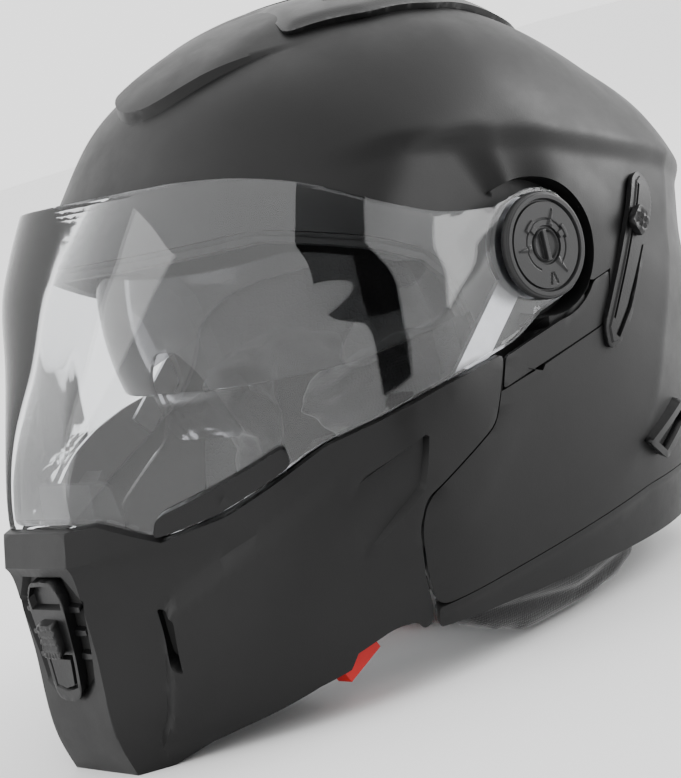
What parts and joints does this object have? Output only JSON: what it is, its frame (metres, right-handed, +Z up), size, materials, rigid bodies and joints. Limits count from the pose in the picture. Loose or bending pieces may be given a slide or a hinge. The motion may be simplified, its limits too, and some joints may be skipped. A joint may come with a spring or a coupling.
{
  "type": "modular motorcycle helmet",
  "caption": "Flip-up motorcycle helmet with a clear visor, an inner sun visor, a hinged chin bar, vents, padded lining and a buckled chin strap.",
  "frame": {"origin": "middle of the helmet's footprint on the surface it stands on", "axes": "+Z up; the face looks along -Y, and the wearer's left side is +X"},
  "size_m": [0.2546, 0.3632, 0.2838],
  "materials": {
    "shell_paint": "matte black paint over a moulded shell",
    "black_plastic": "fine-textured black moulded plastic",
    "dial_plastic": "satin grey plastic with moulded marks",
    "red_plastic": "satin red moulded plastic",
    "rubber": "soft black rubber",
    "foam": "black expanded foam with a beaded surface",
    "fabric": "black knitted mesh over soft foam",
    "steel": "zinc plated",
    "clear_visor": "clear polished polycarbonate",
    "smoke_visor": "light smoke polycarbonate"
  },
  "bodies": {
    "helmet_shell": {"outer_shell": "shell_paint", "impact_liner": "foam", "lower_rear_trim": "shell_paint", "eye_port_gasket": "rubber", "crown_pad": "fabric", "cheek_pad_left": "fabric", "cheek_pad_right": "fabric", "neck_roll": "fabric", "side_cover_left": "shell_paint", "side_cover_right": "shell_paint", "rear_vent_left": "black_plastic", "rear_vent_right": "black_plastic", "pivot_base_left": "black_plastic", "pivot_base_right": "black_plastic", "sun_visor_bracket_left": "black_plastic", "sun_visor_bracket_right": "black_plastic", "top_vent_housing": "black_plastic", "sun_slider_track": "black_plastic", "latch_striker_left": "steel", "latch_striker_right": "steel", "chin_strap_left": "fabric", "chin_strap_right": "fabric", "strap_anchor_left": "steel", "strap_anchor_right": "steel", "buckle_body": "black_plastic", "buckle_tongue": "steel"},
    "chin_bar": {"chin_bar": "shell_paint", "chin_bar_arm_left": "steel", "chin_bar_arm_right": "steel", "chin_bar_liner": "foam", "chin_vent_housing": "black_plastic", "chin_side_vent_left": "black_plastic", "chin_side_vent_right": "black_plastic", "breath_deflector": "rubber", "chin_curtain": "fabric"},
    "visor": {"visor": "clear_visor", "visor_tab": "black_plastic"},
    "sun_visor": {"sun_visor": "smoke_visor"},
    "sun_lever": {"sun_lever": "black_plastic"},
    "pivot_dial_left": {"pivot_dial_left": "dial_plastic"},
    "pivot_dial_right": {"pivot_dial_right": "dial_plastic"},
    "top_vent_slider": {"top_vent_slider": "black_plastic"},
    "chin_vent_slider": {"chin_vent_slider": "black_plastic"},
    "latch_hook_left": {"latch_hook_left": "steel"},
    "latch_hook_right": {"latch_hook_right": "steel"},
    "release_tab": {"release_tab": "red_plastic"},
    "buckle_lever": {"buckle_lever": "red_plastic"}
  },
  "joints": [
    {"name": "chin_bar_flip", "type": "hinge", "parent": "helmet_shell", "child": "chin_bar", "pos_m": [0, 0.0265, 0.158], "axis": [-1, 0, 0], "range_deg": [0, 68]},
    {"name": "visor_lift", "type": "hinge", "parent": "chin_bar", "child": "visor", "pos_m": [0, 0.0265, 0.158], "axis": [1, 0, 0], "range_deg": [-68, 0]},
    {"name": "sun_visor_retract", "type": "hinge", "parent": "helmet_shell", "child": "sun_visor", "pos_m": [0, 0.0265, 0.158], "axis": [-1, 0, 0], "range_deg": [0, 40]},
    {"name": "sun_lever_slide", "type": "slide", "parent": "helmet_shell", "child": "sun_lever", "axis": [0.0896, -0.6241, -0.7762], "range_m": [0, 0.022]},
    {"name": "pivot_dial_left_turn", "type": "hinge", "parent": "helmet_shell", "child": "pivot_dial_left", "pos_m": [0, 0.0265, 0.158], "axis": [1, 0, 0], "range_deg": [0, 45]},
    {"name": "pivot_dial_right_turn", "type": "hinge", "parent": "helmet_shell", "child": "pivot_dial_right", "pos_m": [0, 0.0265, 0.158], "axis": [1, 0, 0], "range_deg": [0, 45]},
    {"name": "top_vent_slide", "type": "slide", "parent": "helmet_shell", "child": "top_vent_slider", "axis": [0, 0.8823, -0.4707], "range_m": [0, 0.008]},
    {"name": "chin_vent_slide", "type": "slide", "parent": "chin_bar", "child": "chin_vent_slider", "axis": [0, -0.0523, -0.9986], "range_m": [0, 0.008]},
    {"name": "latch_hook_left_turn", "type": "hinge", "parent": "chin_bar", "child": "latch_hook_left", "pos_m": [0.0885, -0.0732, 0.0511], "axis": [-1, 0, 0], "range_deg": [0, 15], "stiffness_Nm_per_rad": 0.5},
    {"name": "latch_hook_right_turn", "type": "hinge", "parent": "chin_bar", "child": "latch_hook_right", "pos_m": [-0.0885, -0.0732, 0.0511], "axis": [-1, 0, 0], "range_deg": [0, 15]},
    {"name": "release_tab_pull", "type": "slide", "parent": "chin_bar", "child": "release_tab", "axis": [0, -0.0523, -0.9986], "range_m": [0, 0.006]},
    {"name": "buckle_lever_lift", "type": "hinge", "parent": "helmet_shell", "child": "buckle_lever", "pos_m": [0.018, -0.012, 0.0162], "axis": [0, -0.9986, 0.0523], "range_deg": [0, 30], "stiffness_Nm_per_rad": 0.05}
  ],
  "couplings": [
    {"joint": "sun_lever_slide", "follows": "sun_visor_retract", "m_per_rad": 0.0315},
    {"joint": "latch_hook_right_turn", "follows": "latch_hook_left_turn", "ratio": 1},
    {"joint": "release_tab_pull", "follows": "latch_hook_left_turn", "m_per_rad": 0.0229}
  ]
}
